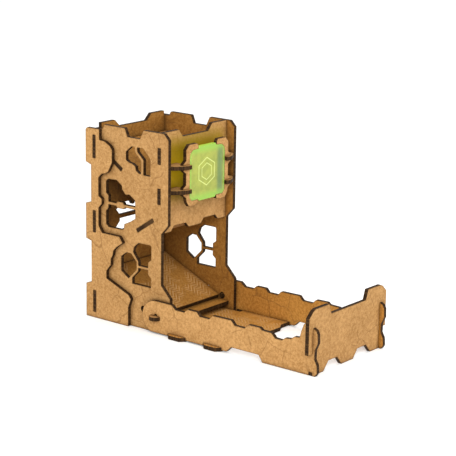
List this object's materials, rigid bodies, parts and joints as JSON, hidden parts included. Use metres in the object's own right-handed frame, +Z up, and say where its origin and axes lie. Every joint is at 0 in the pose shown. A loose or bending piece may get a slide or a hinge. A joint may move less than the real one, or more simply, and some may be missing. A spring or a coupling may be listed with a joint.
{
  "type": "dice tower",
  "caption": "Dice tower of interlocking laser-cut board with inner baffles, an exit ramp, an acrylic emblem plate and a tray that folds up over the front.",
  "frame": {"origin": "on the table, midway along the overall length with the tray down, on the mirror plane", "axes": "+Z up, +Y from the tray towards the back of the tower, +X to the right seen from the tray side"},
  "size_m": [0.0966, 0.2218, 0.1536],
  "materials": {
    "board": "satin",
    "acrylic": "gloss"
  },
  "bodies": {
    "tower": {"side_panel_left": "board", "side_panel_right": "board", "rear_cheek_left": "board", "rear_cheek_right": "board", "back_wall": "board", "front_wall": "board", "upper_baffle": "board", "middle_baffle": "board", "exit_ramp": "board", "tower_floor": "board", "emblem_bracket_left": "board", "emblem_bracket_right": "board", "acrylic_plate": "acrylic", "claw_lower_left": "board", "claw_lower_right": "board", "claw_upper_left": "board", "claw_upper_right": "board"},
    "tray": {"tray_wall_left": "board", "tray_wall_right": "board", "tray_floor": "board", "tray_front": "board", "hinge_key_left": "board", "hinge_key_right": "board"}
  },
  "joints": [
    {"name": "tray_hinge", "type": "hinge", "parent": "tower", "child": "tray", "pos_m": [0, 0.0396, 0.0125], "axis": [-1, 0, 0], "range_deg": [0, 90]}
  ]
}
